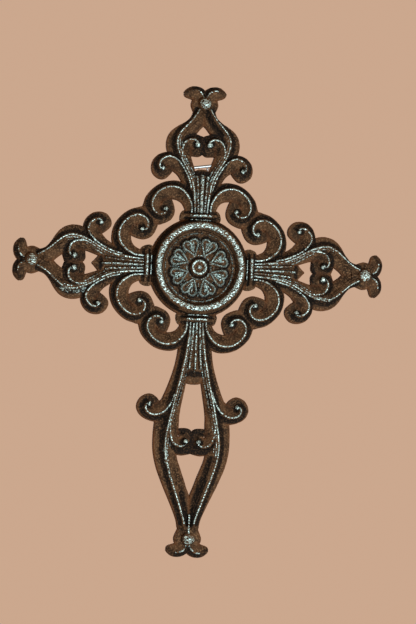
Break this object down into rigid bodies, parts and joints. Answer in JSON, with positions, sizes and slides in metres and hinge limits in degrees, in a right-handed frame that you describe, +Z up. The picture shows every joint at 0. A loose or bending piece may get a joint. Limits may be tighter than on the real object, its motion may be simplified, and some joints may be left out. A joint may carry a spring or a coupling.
{
  "type": "cast-iron wall cross",
  "caption": "Openwork cast-iron wall cross with reeded scroll arms, a round flower medallion and a steel hanging wire across the back of the top arm.",
  "frame": {"origin": "middle of the hanging wire, on the wall plane that the flat back lies against", "axes": "+Z up along the cross, +Y from the carved face through the flat back into the wall, +X to the viewer's right"},
  "size_m": [0.2154, 0.0123, 0.2725],
  "materials": {
    "rusted_cast_iron": "brown rust patina with dark recesses and pale grey-green metal rubbed along every raised edge",
    "bright_steel_wire": "plain bright drawn steel"
  },
  "bodies": {
    "root": {"cross_casting": "rusted_cast_iron", "hanger_wire": "bright_steel_wire"}
  },
  "joints": []
}
